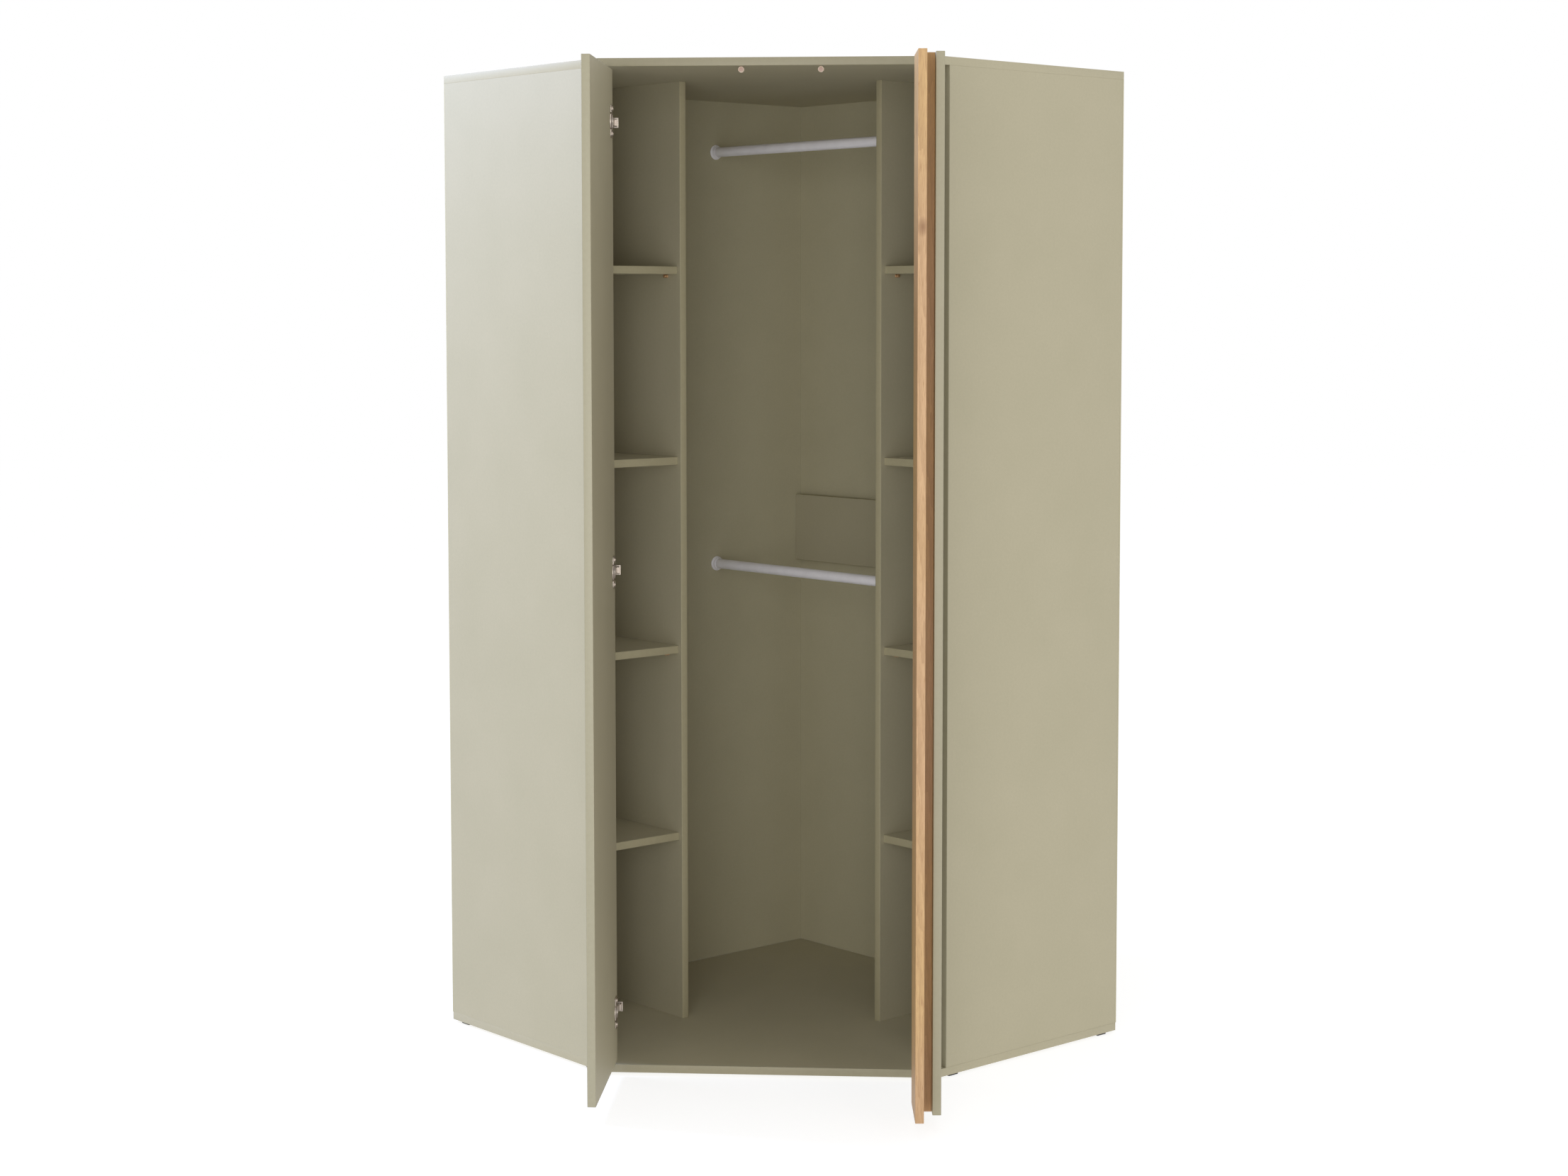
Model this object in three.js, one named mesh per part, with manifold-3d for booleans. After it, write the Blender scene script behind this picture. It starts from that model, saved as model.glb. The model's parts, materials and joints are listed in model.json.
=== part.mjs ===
import * as THREE from 'three';
import { mergeVertices } from 'three/addons/utils/BufferGeometryUtils.js';
import Module from 'manifold-3d';

// Corner wardrobe with two doors across its front, in millimetres, +Z up.
// Its back fits a square room corner. Seen from above it is a pentagon: a straight front,
// two sides at 45 degrees to it, and two long backs that meet at a right angle.
// Each half is built in a wing frame: u runs along the back from the side panel to the corner,
// and v runs along the side panel from the back to the front.
// Each door is built as if closed, with w measured from its hinge axis to its free edge.

// Boards
const board = 16;
const back_board = 3;
const seat_gap = 0.3;
const cut_overrun = 4;

// Overall sizes
const overall_height = 2000;
const front_width = 664;
const side_length = 525;
const foot_height = 6;

// Carcass
const side_panel_setback = 23;
const bay_width = 317;
const partition_depth = 364;
const shelf_setback = 10;
const shelf_count = 4;
const rail_height = 153;
const rail_rise = 907.5;

// Doors
const door_board = 16;
const door_top_gap = 6;
const door_base_gap = 10.5;
const door_side_clearance = 2;
const door_gap = 20;
const door_gap_offset = -4;
const left_open_angle = THREE.MathUtils.degToRad(90);
const right_open_angle = THREE.MathUtils.degToRad(94);

// Grip along the right door's free edge
const spacer_board = 18;
const spacer_setback = 23.3;
const strip_board = 16;
const strip_projection = 49.2;
const grip_width = 128.2;

// Hinge axis, from the closed door's hinge edge and outer face
const axis_inset = 4.5;
const axis_standoff = 7.5;

// Hinge heights, from the door's top and bottom edges. The middle hinge is halfway.
const top_hinge_drop = 101;
const bottom_hinge_rise = 101;

// Hinge cup, let into the door
const cup_inset = 22.5;
const cup_radius = 17.2;
const cup_depth = 11.2;
const cup_wall = 1.2;
const cup_rim = 1.3;
const flange_height = 63;
const flange_width = 18;
const flange_thickness = 2;
const flange_corner = 5;
const flange_screw_spacing = 48;
const screw_head_radius = 4.5;
const screw_head_height = 1.6;
const tongue_reach = 14.7;
const tongue_height = 12;

// Hinge arm and its plate, on the side panel
const arm_height = 19;
const arm_wall = 1.8;
const arm_width = 14.7;
const arm_standoff = 10;
const arm_length = 72;
const arm_clearance = 0.7;
const arm_screw_setback = 18;
const nose_gap = 0.4;
const nose_thickness = 3.2;
const nose_height = 12;
const plate_thickness = 2;
const plate_height = 48;
const plate_width = 14;
const plate_ridge_length = 40;
const plate_ridge_depth = 14;
const plate_setback = 27;
const plate_screw_spacing = 32;

// Hanging rods and their end flanges
const rod_radius = 11;
const rod_clearance = 0.3;
const rod_depth = 261.4;
const upper_rod_drop = 114.3;
const lower_rod_drop = 1049;
const rod_flange_radius = 16.5;
const rod_flange_thickness = 3;
const rod_collar_wall = 2;
const rod_collar_length = 7;

// Shelf pins
const pin_setback = 32;
const pin_radius = 3.5;
const pin_length = 9;
const pin_stem_radius = 2.5;
const pin_stem_length = 8;

// Door stops under the top panel
const stop_radius = 6;
const stop_length = 11;
const stop_gap = 0.4;
const stop_saddle_width = 6;
const right_stop_side_gap = 9.2;

// Feet
const foot_radius = 12.5;
const foot_edge_inset = 10;
const front_foot_inset = 52;
const rear_foot_inset = 32;
const corner_foot_inset = 52;

// Sides of the round pieces
const cup_sides = 28;
const rod_sides = 32;
const foot_sides = 28;
const small_sides = 16;

// Heights that follow
const base_bottom = foot_height;
const floor_level = foot_height + board;
const ceiling_level = overall_height - board;
const clear_height = ceiling_level - floor_level;
const door_bottom = floor_level + door_base_gap;
const door_top = ceiling_level - door_top_gap;
const top_hinge_level = door_top - top_hinge_drop;
const bottom_hinge_level = door_bottom + bottom_hinge_rise;
const middle_hinge_level = (top_hinge_level + bottom_hinge_level) / 2;
const hinge_levels = { top: top_hinge_level, middle: middle_hinge_level, bottom: bottom_hinge_level };

// Plan sizes that follow: the wing frames stand where the sides meet the backs
const half_front = front_width / 2;
const slope = Math.SQRT1_2;
const leg = half_front / slope + side_length;
const wing_x = half_front + side_length * slope;
const wing_y = side_length * slope;
const corner_y = wing_y + wing_x;
const inner_face = board;
const partition_face = board + bay_width;
const partition_back = partition_face + board;
const partition_front = back_board + partition_depth;
const shelf_front = partition_front - shelf_setback;

// Door sizes that follow
const left_door_width = half_front - door_side_clearance + door_gap_offset - door_gap / 2;
const right_door_width = half_front - door_side_clearance - door_gap_offset - door_gap / 2;
const axis_x = half_front - door_side_clearance - axis_inset;
const axis_y = -axis_standoff;
const door_inner = axis_standoff + door_board;
const left_free_edge = left_door_width - axis_inset;
const right_free_edge = right_door_width - axis_inset;
const strip_front = door_inner + seat_gap + spacer_board + seat_gap;
const strip_back = strip_front + strip_board;
const strip_end = right_free_edge + strip_projection;
const grip_inner_edge = strip_end - grip_width;

// The tongue of a hinge cup, seen from the hinge axis
const tongue_face = door_inner + seat_gap + flange_thickness;
const tongue_end = axis_inset + tongue_reach;
const tongue_swing = Math.hypot(tongue_face, tongue_end);
const tongue_bearing = Math.atan2(tongue_end, tongue_face);

// The rest pose's bounding box, which sets the origin under its middle
const strip_swing = Math.hypot(strip_end, strip_back);
const strip_front_reach = strip_end * Math.sin(right_open_angle) - strip_front * Math.cos(right_open_angle);
const strip_back_reach = strip_end * Math.sin(right_open_angle) - strip_back * Math.cos(right_open_angle);
const nearest_y = axis_y - Math.max(strip_front_reach, strip_back_reach);
const origin_y = (nearest_y + corner_y) / 2;

const LEFT = -1;
const RIGHT = 1;

// Materials
const sage = new THREE.MeshStandardMaterial({ color: 0xb4af96, roughness: 0.6, metalness: 0 });
const oak = new THREE.MeshStandardMaterial({ color: 0xcfa77e, roughness: 0.55, metalness: 0 });
const hardboard = new THREE.MeshStandardMaterial({ color: 0xaaa68c, roughness: 0.7, metalness: 0 });
const chrome = new THREE.MeshStandardMaterial({ color: 0xc4c0c0, roughness: 0.25, metalness: 1 });
const nickel = new THREE.MeshStandardMaterial({ color: 0xc9c0ba, roughness: 0.35, metalness: 1 });
const copper = new THREE.MeshStandardMaterial({ color: 0xaa6e46, roughness: 0.4, metalness: 1 });
const bumper = new THREE.MeshStandardMaterial({ color: 0xc8aa96, roughness: 0.6, metalness: 0 });
const glide = new THREE.MeshStandardMaterial({ color: 0x1e1d1b, roughness: 0.7, metalness: 0 });

const wasm = await Module();
wasm.setup();

// A closed mesh as a solid, for cuts and joins
function toSolid(geometry) {
  const bare = geometry.clone();
  bare.deleteAttribute('normal');
  bare.deleteAttribute('uv');
  const merged = mergeVertices(bare);
  return new wasm.Manifold(new wasm.Mesh({
    numProp: 3,
    vertProperties: new Float32Array(merged.attributes.position.array),
    triVerts: new Uint32Array(merged.index.array),
  }));
}

function toGeometry(solid) {
  const mesh = solid.getMesh();
  const geometry = new THREE.BufferGeometry();
  geometry.setAttribute('position', new THREE.BufferAttribute(mesh.vertProperties, 3));
  geometry.setIndex(new THREE.BufferAttribute(mesh.triVerts, 1));
  geometry.computeVertexNormals();
  return geometry;
}

function join(geometries) {
  const solids = geometries.map(toSolid);
  return toGeometry(solids.reduce((whole, piece) => whole.add(piece)));
}

function cut(geometry, cutters) {
  const solids = cutters.map(toSolid);
  return toGeometry(solids.reduce((whole, cutter) => whole.subtract(cutter), toSolid(geometry)));
}

function boxBetween(xs, ys, zs) {
  const low = [xs, ys, zs].map((ends) => Math.min(...ends));
  const high = [xs, ys, zs].map((ends) => Math.max(...ends));
  const sizes = high.map((end, axis) => end - low[axis]);
  const middles = high.map((end, axis) => (end + low[axis]) / 2);
  return new THREE.BoxGeometry(...sizes).translate(...middles);
}

// A turned piece: its profile holds [radius, distance along the direction]
function turned(profile, start, direction, sides) {
  const points = profile.map(([radius, along]) => new THREE.Vector2(radius, along));
  const upright = new THREE.Vector3(0, 1, 0);
  const turn = new THREE.Quaternion().setFromUnitVectors(upright, direction.clone().normalize());
  return new THREE.LatheGeometry(points, sides).applyQuaternion(turn).translate(...start.toArray());
}

function round(start, end, radius, sides) {
  const along = end.clone().sub(start);
  const length = along.length();
  return turned([[0, 0], [radius, 0], [radius, length], [0, length]], start, along, sides);
}

function prism(points, bottom, top) {
  const outline = new THREE.Shape(points.map(([x, y]) => new THREE.Vector2(x, y)));
  return new THREE.ExtrudeGeometry(outline, { depth: top - bottom, bevelEnabled: false }).translate(0, 0, bottom);
}

function addPiece(group, name, geometry, material) {
  const mesh = new THREE.Mesh(geometry, material);
  mesh.name = name;
  group.add(mesh);
}

// Places in a wing frame
function wingBox(side, us, vs, zs) {
  return boxBetween(us.map((u) => -side * u), vs.map((v) => -v), zs);
}

function wingPoint(side, u, v, z) {
  return new THREE.Vector3(-side * u, -v, z);
}

// Places on a closed door
function doorBox(side, ws, ys, zs) {
  return boxBetween(ws.map((w) => -side * w), ys, zs);
}

function doorPoint(side, w, y, z) {
  return new THREE.Vector3(-side * w, y, z);
}

const wardrobe = new THREE.Group();
wardrobe.position.y = -origin_y;

const wings = new Map();
for (const side of [LEFT, RIGHT]) {
  const wing = new THREE.Group();
  wing.position.set(side * wing_x, wing_y, 0);
  wing.rotation.z = -side * Math.PI / 4;
  wardrobe.add(wing);
  wings.set(side, wing);
}

// Top and base panels. The base's back edges stop short by the back boards' thickness.
function pentagon(back_inset) {
  const inset = back_inset * slope;
  return [
    [-half_front, 0],
    [half_front, 0],
    [wing_x - inset, wing_y - inset],
    [0, corner_y - back_inset / slope],
    [-wing_x + inset, wing_y - inset],
  ];
}

addPiece(wardrobe, 'top_panel', prism(pentagon(0), ceiling_level, overall_height), sage);
addPiece(wardrobe, 'base_panel', prism(pentagon(back_board), base_bottom, floor_level), sage);

// Shelves, one above the other at an even pitch. The ones with an even place rest on pins.
const shelf_pitch = (clear_height + board) / (shelf_count + 1);
const shelf_places = Array.from({ length: shelf_count }, (_, place) => place + 1);
const shelf_underside = (place) => floor_level + shelf_pitch * place - board;
const pinned_places = shelf_places.filter((place) => place % 2 === 0);
const pin_depth = shelf_front - pin_setback;
const pin_level = (place) => shelf_underside(place) - pin_radius - seat_gap;

// Holes for the shelf pins, in a panel's face at u, opening towards its bay
function pinHoles(side, face, towards_bay) {
  return pinned_places.map((place) => round(
    wingPoint(side, face + towards_bay * cut_overrun, pin_depth, pin_level(place)),
    wingPoint(side, face - towards_bay * (pin_stem_length + seat_gap), pin_depth, pin_level(place)),
    pin_stem_radius + seat_gap,
    small_sides,
  ));
}

function addPin(side, name, face, towards_bay, place) {
  const profile = [
    [0, -pin_stem_length],
    [pin_stem_radius, -pin_stem_length],
    [pin_stem_radius, seat_gap],
    [pin_radius, seat_gap],
    [pin_radius, pin_length],
    [0, pin_length],
  ];
  const start = wingPoint(side, face, pin_depth, pin_level(place));
  const direction = new THREE.Vector3(-side * towards_bay, 0, 0);
  addPiece(wings.get(side), name, turned(profile, start, direction, small_sides), copper);
}

// Panels, shelves and pins of one wing
function addWing(side, word) {
  const wing = wings.get(side);
  const heights = [floor_level, ceiling_level];
  const back = back_board + seat_gap;

  const side_panel = wingBox(side, [0, board], [back, side_length - side_panel_setback], heights);
  addPiece(wing, `${word}_side_panel`, cut(side_panel, pinHoles(side, inner_face, 1)), sage);

  const partition = wingBox(side, [partition_face, partition_back], [back, partition_front], heights);
  addPiece(wing, `${word}_partition`, cut(partition, pinHoles(side, partition_face, -1)), sage);

  for (const place of shelf_places) {
    const underside = shelf_underside(place);
    const us = [inner_face + seat_gap, partition_face - seat_gap];
    const shelf = wingBox(side, us, [back, shelf_front], [underside, underside + board]);
    addPiece(wing, `${word}_shelf_${place}`, shelf, sage);
  }

  for (const place of pinned_places) {
    addPin(side, `${word}_side_pin_${place}`, inner_face, 1, place);
    addPin(side, `${word}_partition_pin_${place}`, partition_face, -1, place);
  }
}

addWing(LEFT, 'left');
addWing(RIGHT, 'right');

// Thin back boards: the left one runs right into the corner and the right one butts against it
const back_heights = [floor_level, ceiling_level];
const right_back_end = leg - back_board - seat_gap;
const left_back_board = wingBox(LEFT, [0, leg], [0, back_board], back_heights);
addPiece(wings.get(LEFT), 'left_back_board', left_back_board, hardboard);
const right_back_board = wingBox(RIGHT, [0, right_back_end], [0, back_board], back_heights);
addPiece(wings.get(RIGHT), 'right_back_board', right_back_board, hardboard);

// Back rail, flat against the right back board between its partition and the left back board
const span_start = partition_back + seat_gap;
const span_end = leg - back_board - seat_gap;
const rail_vs = [back_board + seat_gap, back_board + seat_gap + board];
const rail_bottom = floor_level + rail_rise;
const back_rail = wingBox(RIGHT, [span_start, span_end], rail_vs, [rail_bottom, rail_bottom + rail_height]);
addPiece(wings.get(RIGHT), 'back_rail', back_rail, sage);

// Hanging rods, each held by a flanged socket at both ends
function addRod(word, level) {
  const wing = wings.get(RIGHT);
  const rod_inset = rod_flange_thickness + seat_gap;
  const rod = round(
    wingPoint(RIGHT, span_start + rod_inset, rod_depth, level),
    wingPoint(RIGHT, span_end - rod_inset, rod_depth, level),
    rod_radius,
    rod_sides,
  );
  addPiece(wing, `${word}_rod`, rod, chrome);

  const bore_radius = rod_radius + rod_clearance;
  const collar_radius = bore_radius + rod_collar_wall;
  const collar_end = rod_flange_thickness + rod_collar_length;
  const socket = [
    [0, 0],
    [rod_flange_radius, 0],
    [rod_flange_radius, rod_flange_thickness],
    [collar_radius, rod_flange_thickness],
    [collar_radius, collar_end],
    [bore_radius, collar_end],
    [bore_radius, rod_flange_thickness],
    [0, rod_flange_thickness],
  ];
  const right_start = wingPoint(RIGHT, span_start, rod_depth, level);
  const left_start = wingPoint(RIGHT, span_end, rod_depth, level);
  const to_left = new THREE.Vector3(-1, 0, 0);
  const to_right = new THREE.Vector3(1, 0, 0);
  addPiece(wing, `${word}_rod_right_socket`, turned(socket, right_start, to_left, rod_sides), chrome);
  addPiece(wing, `${word}_rod_left_socket`, turned(socket, left_start, to_right, rod_sides), chrome);
}

addRod('upper', ceiling_level - upper_rod_drop);
addRod('lower', ceiling_level - lower_rod_drop);

// Feet: low glides near each end of both sides, and one in the back corner
function foot(start) {
  const end = start.clone().setZ(foot_height);
  return round(start, end, foot_radius, foot_sides);
}

const foot_u = foot_edge_inset + foot_radius;
for (const [side, word] of [[LEFT, 'left'], [RIGHT, 'right']]) {
  const front_foot = foot(wingPoint(side, foot_u, side_length - front_foot_inset, 0));
  addPiece(wings.get(side), `front_${word}_foot`, front_foot, glide);
  const rear_foot = foot(wingPoint(side, foot_u, back_board + rear_foot_inset, 0));
  addPiece(wings.get(side), `rear_${word}_foot`, rear_foot, glide);
}
addPiece(wardrobe, 'corner_foot', foot(new THREE.Vector3(0, corner_y - corner_foot_inset, 0)), glide);

// Door stops: round bumpers under the top panel, one to each side of the grip.
// The left one stays clear of the strip's far edge as the right door swings past it.
const stop_front = axis_y + door_inner + seat_gap;
const stop_level = ceiling_level - stop_radius;
const left_stop_x = axis_x - strip_swing - stop_gap - stop_radius;
const right_stop_x = axis_x - grip_inner_edge + right_stop_side_gap + stop_radius;

function addStop(name, x) {
  const start = new THREE.Vector3(x, stop_front, stop_level);
  const end = new THREE.Vector3(x, stop_front + stop_length, stop_level);
  const half_saddle = stop_saddle_width / 2;
  const saddle_ys = [stop_front + stop_length / 2, stop_front + stop_length];
  const saddle = boxBetween([x - half_saddle, x + half_saddle], saddle_ys, [stop_level, ceiling_level]);
  addPiece(wardrobe, name, join([round(start, end, stop_radius, cup_sides), saddle]), bumper);
}

addStop('left_door_stop', left_stop_x);
addStop('right_door_stop', right_stop_x);

// Hinge plate: a flat plate screwed to the side panel, with a ridge that carries the arm
function hingePlate(side, level) {
  const plate_u = inner_face + seat_gap;
  const plate_top = plate_u + plate_thickness;
  const plate_v = side_length - side_panel_setback - plate_setback;
  const plate = wingBox(
    side,
    [plate_u, plate_top],
    [plate_v - plate_width / 2, plate_v + plate_width / 2],
    [level - plate_height / 2, level + plate_height / 2],
  );
  const half_ridge = arm_height / 2 - arm_wall - seat_gap;
  const ridge = wingBox(
    side,
    [plate_u, plate_u + plate_ridge_depth],
    [plate_v - plate_ridge_length / 2, plate_v + plate_ridge_length / 2],
    [level - half_ridge, level + half_ridge],
  );
  const heads = [-1, 1].map((way) => {
    const z = level + way * plate_screw_spacing / 2;
    const head_end = plate_top + screw_head_height;
    return round(wingPoint(side, plate_u, plate_v, z), wingPoint(side, head_end, plate_v, z), screw_head_radius, small_sides);
  });
  return join([plate, ridge, ...heads]);
}

// Nose of the hinge arm, which meets the open door's tongue and dips into the closed door's cup.
// It is drawn in the closed door's w and y, from the arm's outer face at u to beside the tongue.
function armNose(side, level, outer_u, open_angle) {
  const bearing = tongue_bearing + Math.PI / 2 - open_angle;
  const low_w = (tongue_swing + nose_gap) * Math.cos(bearing);
  const high_w = low_w + nose_thickness;
  const low_y = (tongue_swing + nose_gap) * Math.sin(bearing);
  const axis_shift_x = wing_x - axis_x;
  const axis_shift_y = axis_y - wing_y;
  const outer_y = (w) => outer_u / slope - axis_shift_x - axis_shift_y - w;
  const outline = [
    [low_w, low_y],
    [high_w, low_y],
    [high_w, outer_y(high_w)],
    [low_w, outer_y(low_w)],
  ];
  const points = outline.map(([w, y]) => {
    const across = axis_shift_x + w;
    const ahead = axis_shift_y + y;
    return [-side * (across + ahead) * slope, -(across - ahead) * slope];
  });
  return prism(points, level - nose_height / 2, level + nose_height / 2);
}

// Hinge arm: a channel over the plate's ridge. Its front end is cut parallel to the closed door.
function hingeArm(side, level, open_angle) {
  const low_u = inner_face + arm_standoff;
  const high_u = low_u + arm_width;
  const front_y = axis_y + tongue_face + arm_clearance;
  const front_shift = (wing_y - front_y) / slope;
  const back_v = high_u + front_shift - arm_length - arm_width;
  const outline = [
    [low_u, back_v],
    [high_u, back_v],
    [high_u, high_u + front_shift],
    [low_u, low_u + front_shift],
  ];
  const points = outline.map(([u, v]) => [-side * u, -v]);
  const block = prism(points, level - arm_height / 2, level + arm_height / 2);
  const half_channel = arm_height / 2 - arm_wall;
  const channel = wingBox(
    side,
    [low_u - cut_overrun, high_u - arm_wall],
    [back_v - cut_overrun, high_u + front_shift + cut_overrun],
    [level - half_channel, level + half_channel],
  );
  const screw_v = back_v + arm_screw_setback;
  const head = round(
    wingPoint(side, high_u - arm_wall, screw_v, level),
    wingPoint(side, high_u + screw_head_height, screw_v, level),
    screw_head_radius,
    small_sides,
  );
  return join([cut(block, [channel]), head, armNose(side, level, high_u, open_angle)]);
}

for (const [side, word, open_angle] of [[LEFT, 'left', left_open_angle], [RIGHT, 'right', right_open_angle]]) {
  for (const [place, level] of Object.entries(hinge_levels)) {
    addPiece(wings.get(side), `${word}_${place}_hinge_plate`, hingePlate(side, level), nickel);
    addPiece(wings.get(side), `${word}_${place}_hinge_arm`, hingeArm(side, level, open_angle), nickel);
  }
}

// Hinge cup: a round cup in the door's bore, its screwed flange, and the tongue towards the arm
const cup_w = cup_inset - axis_inset;

function flangePlate(side, level) {
  const half_width = flange_width / 2;
  const half_height = flange_height / 2;
  const inner_width = half_width - flange_corner;
  const inner_height = half_height - flange_corner;
  const outline = new THREE.Shape();
  outline.absarc(inner_width, inner_height, flange_corner, 0, Math.PI / 2);
  outline.absarc(-inner_width, inner_height, flange_corner, Math.PI / 2, Math.PI);
  outline.absarc(-inner_width, -inner_height, flange_corner, Math.PI, Math.PI * 3 / 2);
  outline.absarc(inner_width, -inner_height, flange_corner, Math.PI * 3 / 2, Math.PI * 2);
  const plate = new THREE.ExtrudeGeometry(outline, {
    depth: flange_thickness,
    bevelEnabled: false,
    curveSegments: 4,
  });
  const back = door_inner + seat_gap + flange_thickness;
  return plate.rotateX(Math.PI / 2).translate(-side * cup_w, back, level);
}

function hingeCup(side, level) {
  const seat = door_inner + seat_gap;
  const top = seat + flange_thickness;
  const at = (y) => doorPoint(side, cup_w, y, level);
  const barrel = round(at(door_inner - cup_depth), at(top), cup_radius, cup_sides);
  const rim = round(at(seat), at(top), cup_radius + cup_rim, cup_sides);
  const hollow = round(at(door_inner - cup_depth + cup_wall), at(top + cut_overrun), cup_radius - cup_wall, cup_sides);
  const tongue_zs = [level - tongue_height / 2, level + tongue_height / 2];
  const tongue = doorBox(side, [cup_w - cup_radius, -tongue_end], [seat, top], tongue_zs);
  const heads = [-1, 1].map((way) => {
    const z = level + way * flange_screw_spacing / 2;
    const head_end = top + screw_head_height;
    return round(doorPoint(side, cup_w, seat, z), doorPoint(side, cup_w, head_end, z), screw_head_radius, small_sides);
  });
  return cut(join([barrel, rim, flangePlate(side, level), tongue, ...heads]), [hollow]);
}

function cupBore(side, level) {
  const bore_floor = door_inner - cup_depth - seat_gap;
  const start = doorPoint(side, cup_w, bore_floor, level);
  const end = doorPoint(side, cup_w, door_inner + cut_overrun, level);
  return round(start, end, cup_radius + seat_gap, cup_sides);
}

function addDoor(side, word, free_edge, open_angle) {
  const door = new THREE.Group();
  door.position.set(side * axis_x, axis_y, 0);
  door.rotation.z = side * open_angle;
  wardrobe.add(door);

  const levels = Object.entries(hinge_levels);
  const panel = doorBox(side, [-axis_inset, free_edge], [axis_standoff, door_inner], [door_bottom, door_top]);
  const bores = levels.map(([, level]) => cupBore(side, level));
  addPiece(door, `${word}_door_panel`, cut(panel, bores), sage);
  for (const [place, level] of levels) {
    addPiece(door, `${word}_${place}_hinge_cup`, hingeCup(side, level), nickel);
  }
  return door;
}

addDoor(LEFT, 'left', left_free_edge, left_open_angle);
const right_door = addDoor(RIGHT, 'right', right_free_edge, right_open_angle);

// Grip of the right door: a spacer on its inner face, and the strip that reaches past its edge
const door_zs = [door_bottom, door_top];
const spacer_ys = [door_inner + seat_gap, door_inner + seat_gap + spacer_board];
const spacer = doorBox(RIGHT, [grip_inner_edge, right_free_edge - spacer_setback], spacer_ys, door_zs);
addPiece(right_door, 'grip_spacer', spacer, oak);
const strip = doorBox(RIGHT, [grip_inner_edge, strip_end], [strip_front, strip_back], door_zs);
addPiece(right_door, 'grip_strip', strip, oak);

export default wardrobe;
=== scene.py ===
# %% [markdown]
# # A corner wardrobe, dressed
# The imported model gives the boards, the hardware and the two door hinges as a fixed frame.
# This lesson leaves every board where it is, gives it a real finish and softened arrises, and
# makes the small hardware again with rounder shapes. The frame comes first, because each
# later step asks it where something is.

# %% Load the frame
import json
import math

import bmesh
import bpy
from mathutils import Matrix, Vector


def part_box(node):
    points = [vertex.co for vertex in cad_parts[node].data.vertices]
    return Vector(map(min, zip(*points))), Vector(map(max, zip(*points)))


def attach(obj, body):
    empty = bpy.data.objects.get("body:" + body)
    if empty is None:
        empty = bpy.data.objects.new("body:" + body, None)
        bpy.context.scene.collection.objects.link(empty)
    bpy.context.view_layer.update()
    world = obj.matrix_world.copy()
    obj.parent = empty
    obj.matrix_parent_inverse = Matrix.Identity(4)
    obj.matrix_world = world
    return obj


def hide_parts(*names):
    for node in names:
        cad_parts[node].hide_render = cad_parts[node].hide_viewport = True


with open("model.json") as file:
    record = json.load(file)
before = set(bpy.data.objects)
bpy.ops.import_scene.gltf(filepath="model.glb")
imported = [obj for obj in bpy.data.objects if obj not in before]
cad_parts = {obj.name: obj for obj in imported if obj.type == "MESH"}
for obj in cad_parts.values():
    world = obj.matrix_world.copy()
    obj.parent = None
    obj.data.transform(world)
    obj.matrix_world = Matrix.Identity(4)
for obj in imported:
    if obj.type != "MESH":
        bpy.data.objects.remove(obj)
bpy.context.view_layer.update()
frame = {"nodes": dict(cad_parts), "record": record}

# %% [markdown]
# The camera stands where the photographer stood: in front, a little to the right, at about
# eye height. A camera could be aimed by eye. This one was worked out from the corners of the
# boards, so its turn is three small angles. It looks down a little less than it would need to
# for the wardrobe to be in the middle, and a small vertical shift does the rest.

# %% Camera
PHOTO_WIDTH, PHOTO_HEIGHT = 2212, 1659
FOCAL_PIXELS = 3723.24
CENTRE_ROW = 700
SENSOR = 36
EYE_PLACE = (0.35896, -5.45789, 1.51964)
HEADING = 0.06439
LOOK_DOWN = 0.07143
ROLL = -0.00059

eye = bpy.data.cameras.new("eye")
eye.sensor_fit = "HORIZONTAL"
eye.sensor_width = SENSOR
eye.lens = FOCAL_PIXELS / PHOTO_WIDTH * SENSOR
eye.shift_y = (CENTRE_ROW - PHOTO_HEIGHT / 2) / PHOTO_WIDTH
camera = bpy.data.objects.new("eye", eye)
heading = Matrix.Rotation(HEADING, 4, "Z")
tilt = Matrix.Rotation(math.pi / 2 - LOOK_DOWN, 4, "X")
roll = Matrix.Rotation(ROLL, 4, "Z")
camera.matrix_world = Matrix.Translation(EYE_PLACE) @ heading @ tilt @ roll
bpy.context.scene.collection.objects.link(camera)
bpy.context.scene.camera = camera
bpy.context.scene.view_settings.view_transform = "Standard"
print("lens", round(eye.lens, 2), "shift", round(eye.shift_y, 4))

# %% [markdown]
# Every finish below is a small tree of shader nodes. Two helpers are enough for all of them:
# one turns a colour written as sRGB hex into the linear numbers that a shader wants, and one
# adds a node with its settings, its values and its links. Most sockets go by name. A Mix node
# has several pairs of the same name, so its factor, its two colours and the colour that comes
# out go by number, and so do the twin inputs of Math and of the nodes that join two shaders.

# %% Helpers for materials
def linear(hex_colour):
    """The linear red, green, blue and alpha of a colour such as "#b2ae98"."""
    shares = [int(hex_colour[i:i + 2], 16) / 255 for i in (1, 3, 5)]
    return [s / 12.92 if s <= 0.04045 else ((s + 0.055) / 1.055) ** 2.4 for s in shares] + [1]


def set_inputs(tree, node, inputs):
    for name, value in inputs.items():
        if isinstance(value, bpy.types.NodeSocket):
            tree.links.new(value, node.inputs[name])
        else:
            node.inputs[name].default_value = value


def add_node(tree, kind, inputs=None, **settings):
    """A new shader node. An input is a plain value, or another node's output to link from."""
    node = tree.nodes.new("ShaderNode" + kind)
    for name, value in settings.items():
        setattr(node, name, value)
    set_inputs(tree, node, inputs or {})
    return node


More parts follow.
